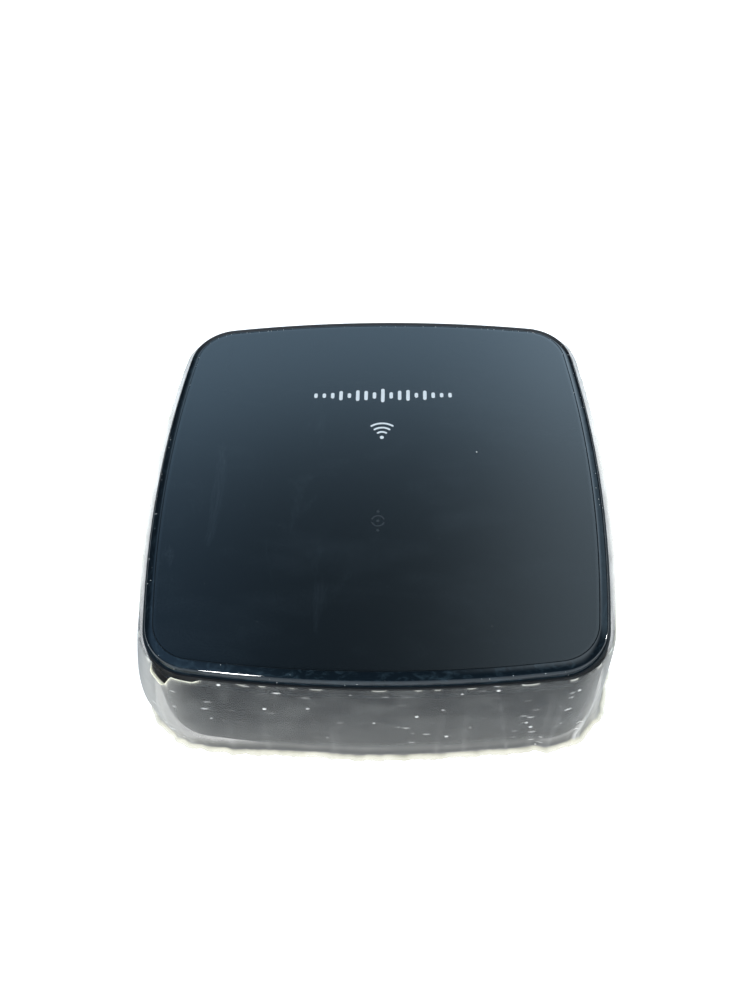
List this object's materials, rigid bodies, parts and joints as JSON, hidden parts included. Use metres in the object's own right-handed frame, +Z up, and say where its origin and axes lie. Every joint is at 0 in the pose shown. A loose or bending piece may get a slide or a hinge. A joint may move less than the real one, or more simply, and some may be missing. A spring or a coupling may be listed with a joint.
{
  "type": "bluetooth audio receiver",
  "caption": "Low rounded-square wireless audio receiver with bowed sides, satin top panel, gloss rim, clear side film and rear sockets with a push button.",
  "frame": {"origin": "centre of the resting face, on the plane the foot stands on", "axes": "+Z up, -Y towards the front, +Y towards the rear sockets, +X to the right seen from the front"},
  "size_m": [0.0902, 0.0902, 0.028],
  "materials": {
    "panel_satin_black": "satin",
    "bezel_gloss_black": "gloss",
    "case_black": "matte",
    "foot_rubber_black": "matte",
    "adhesive_foam": "matte",
    "label_silver_grey": "satin",
    "film_clear": "cloudy clear",
    "screw_steel": "zinc plated",
    "light_guide_clear": "clear",
    "baffle_black": "matte",
    "light_white": "gloss",
    "button_black": "satin",
    "switch_black": "matte",
    "plunger_ivory": "matte",
    "spring_steel": "bright",
    "socket_black": "satin",
    "emitter_dark_red": "gloss",
    "plated_metal": "bright nickel",
    "contact_gold": "gold plated",
    "board_green": "solder mask",
    "chip_black": "matte",
    "shield_tinned": "tinned",
    "thermal_grey": "matte",
    "ferrite_grey": "matte",
    "capacitor_can": "bright",
    "ceramic_tan": "matte",
    "resistor_black": "matte",
    "cable_black": "matte"
  },
  "bodies": {
    "housing": {"top_panel": "panel_satin_black", "panel_adhesive": "adhesive_foam", "rim_bezel": "bezel_gloss_black", "case": "case_black", "base_cover": "case_black", "foot_pad": "foot_rubber_black", "blank_label": "label_silver_grey", "case_screws": "screw_steel", "side_film": "film_clear", "connector_panel": "case_black", "network_light_guide": "light_guide_clear", "pairing_light_guide": "light_guide_clear", "light_baffle": "baffle_black", "status_lights": "light_white", "control_switch": "switch_black", "switch_dome": "spring_steel", "optical_socket": "socket_black", "optical_emitter": "emitter_dark_red", "shutter_pin": "spring_steel", "shutter_spring": "spring_steel", "audio_socket": "socket_black", "audio_socket_ring": "plated_metal", "audio_socket_contacts": "contact_gold", "power_socket_shell": "plated_metal", "power_socket_tongue": "socket_black", "power_socket_contacts": "contact_gold", "main_board": "board_green", "board_screws": "screw_steel", "processor_chip": "chip_black", "thermal_pad": "thermal_grey", "processor_shield": "shield_tinned", "memory_chips": "chip_black", "audio_converter_chip": "chip_black", "power_converter_chip": "chip_black", "power_inductor": "ferrite_grey", "bulk_capacitors": "capacitor_can", "output_capacitors": "capacitor_can", "clock_crystal": "shield_tinned", "ceramic_capacitors": "ceramic_tan", "chip_resistors": "resistor_black", "wireless_module": "board_green", "wireless_shield": "shield_tinned", "antenna_sockets": "contact_gold", "antenna_left": "board_green", "antenna_right": "board_green", "antenna_cable_left": "cable_black", "antenna_cable_right": "cable_black"},
    "button": {"control_button": "button_black"},
    "plunger": {"switch_plunger": "plunger_ivory"},
    "shutter": {"optical_shutter": "socket_black"}
  },
  "joints": [
    {"name": "control_button_press", "type": "slide", "parent": "housing", "child": "button", "axis": [0, -1, 0], "range_m": [0, 0.0003]},
    {"name": "switch_plunger_press", "type": "slide", "parent": "housing", "child": "plunger", "axis": [0, -1, 0], "range_m": [0, 0.0003], "deforming": ["switch_dome"]},
    {"name": "optical_shutter_swing", "type": "hinge", "parent": "housing", "child": "shutter", "pos_m": [0.008, 0.0382, 0.0171], "axis": [-1, 0, 0], "range_deg": [0, 88], "stiffness_Nm_per_rad": 0.00002, "deforming": ["shutter_spring"]}
  ],
  "couplings": [
    {"joint": "switch_plunger_press", "follows": "control_button_press", "ratio": 1}
  ]
}
